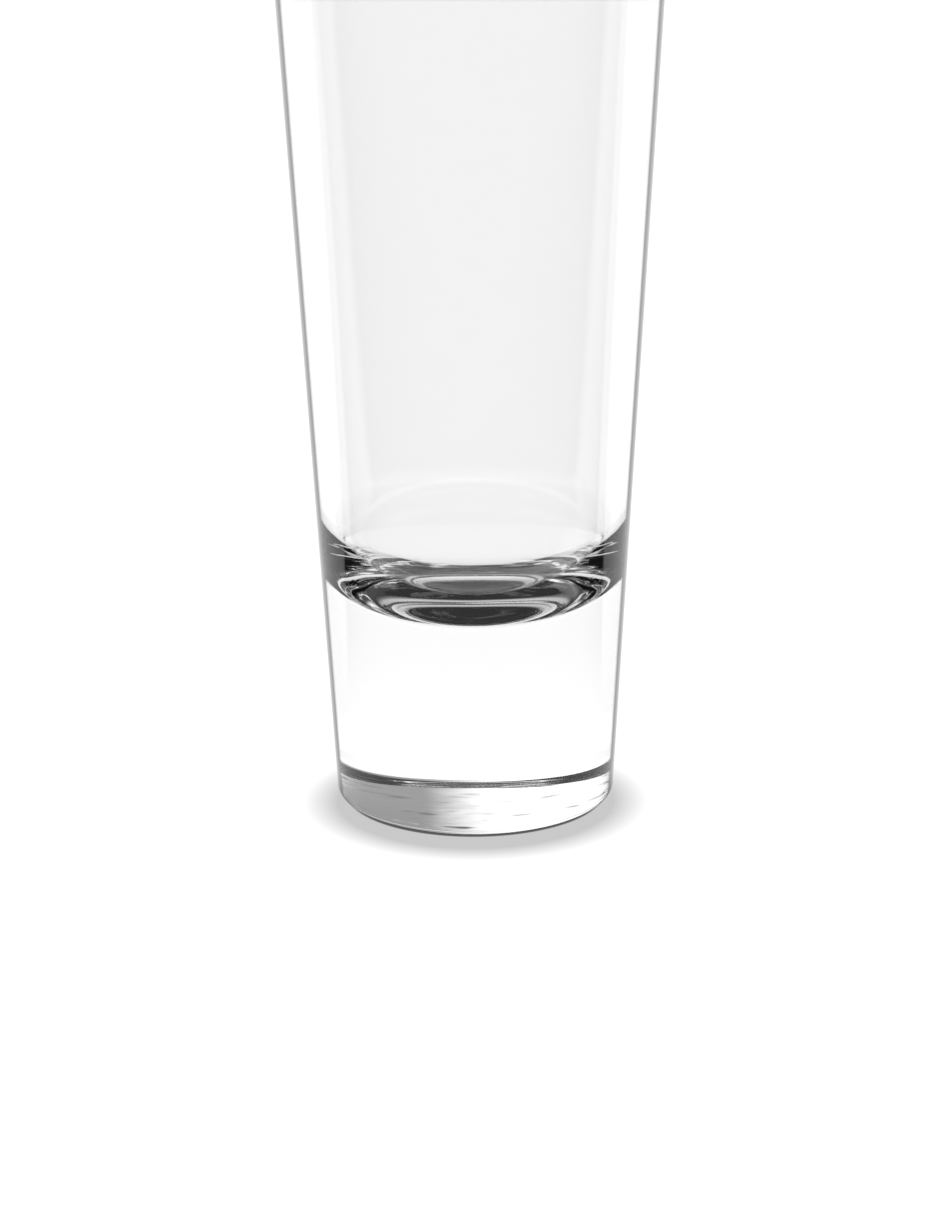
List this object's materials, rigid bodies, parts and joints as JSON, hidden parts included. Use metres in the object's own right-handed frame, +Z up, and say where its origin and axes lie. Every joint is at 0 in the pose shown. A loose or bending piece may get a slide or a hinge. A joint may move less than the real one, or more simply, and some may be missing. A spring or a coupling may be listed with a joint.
{
  "type": "water glass",
  "caption": "Tall conical drinking glass with a heavy solid base, a straight flaring wall, a rounded rim and a bowl-shaped inside floor, for serving water and other cold drinks.",
  "frame": {"origin": "centre of the foot ring, on the surface that the glass stands on", "axes": "+Z up along the axis of the glass, towards its rim; the glass is round, so X and Y can point any way"},
  "size_m": [0.0598, 0.0598, 0.14],
  "materials": {
    "clear_glass": "clear, colourless pressed glass with a smooth fire-polished surface"
  },
  "bodies": {
    "root": {"glass": "clear_glass"}
  },
  "joints": []
}
